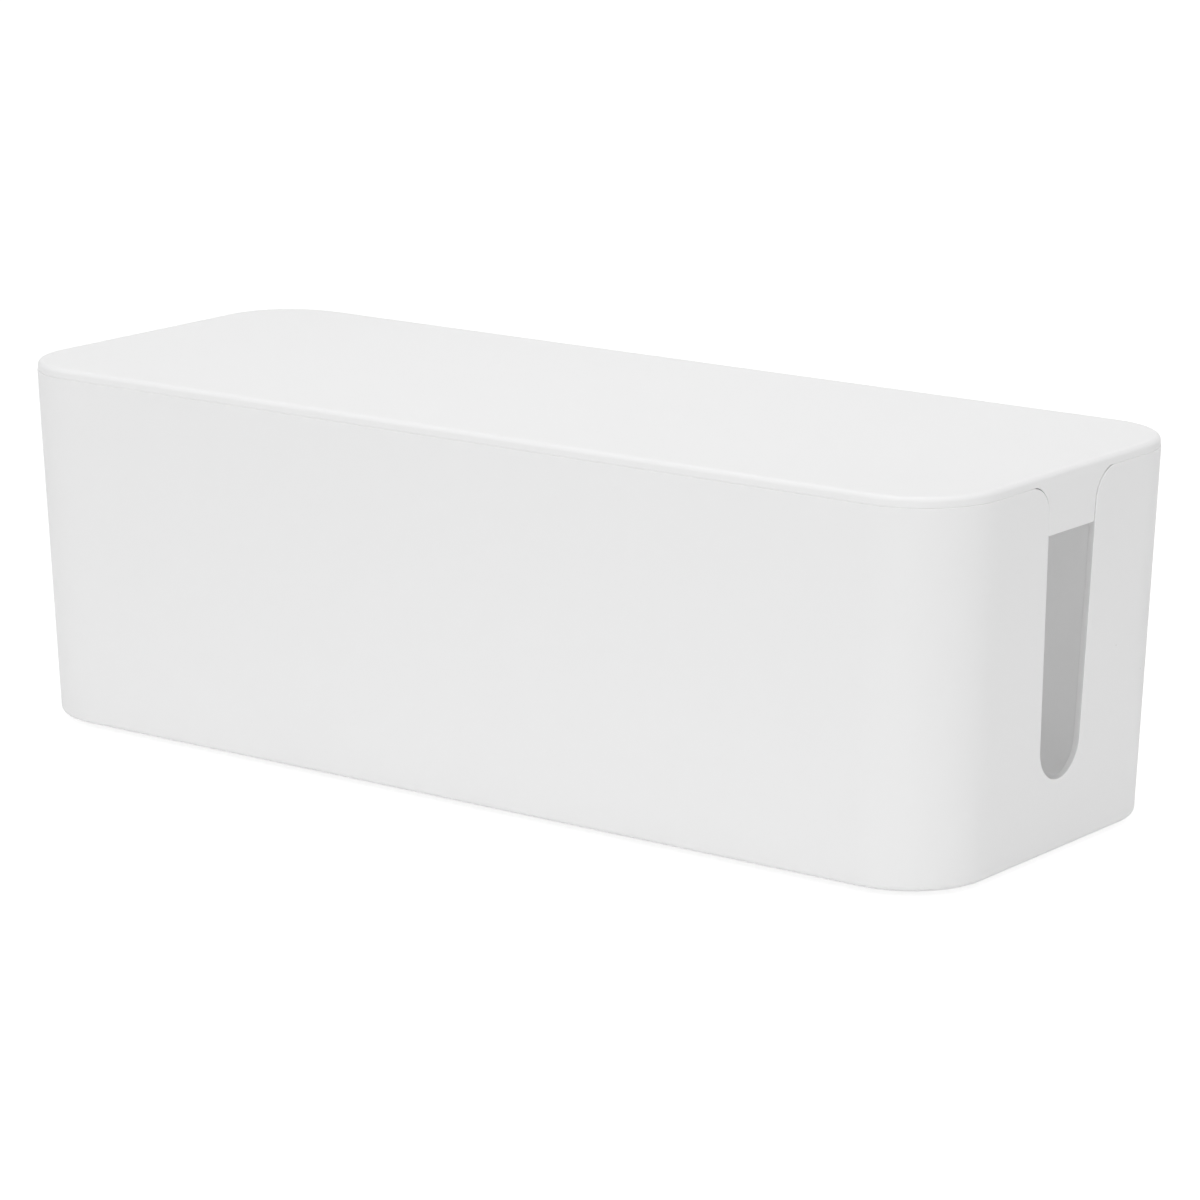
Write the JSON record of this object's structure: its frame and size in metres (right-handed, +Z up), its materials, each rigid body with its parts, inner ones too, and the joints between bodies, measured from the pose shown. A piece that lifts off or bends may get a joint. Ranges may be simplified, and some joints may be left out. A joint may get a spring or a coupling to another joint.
{
  "type": "cable management box",
  "caption": "Long open-topped moulded box that hides a power strip and leads, with a flared cable slot in each end, a lift-off tongued lid and rubber feet.",
  "frame": {"origin": "middle of the surface that the four feet stand on", "axes": "+X along the length towards the right end, -Y out of the front long wall, +Z up out of the lid"},
  "size_m": [0.405, 0.152, 0.133],
  "materials": {
    "body_plastic": "satin white moulded plastic",
    "lid_plastic": "satin white moulded plastic",
    "foot_rubber": "soft matt grey"
  },
  "bodies": {
    "body": {"body": "body_plastic", "foot_front_left": "foot_rubber", "foot_front_right": "foot_rubber", "foot_back_left": "foot_rubber", "foot_back_right": "foot_rubber"},
    "lid": {"lid": "lid_plastic"}
  },
  "joints": [
    {"name": "lid_lift", "type": "slide", "parent": "body", "child": "lid", "axis": [0, 0, 1], "range_m": [0, 0.16]}
  ]
}
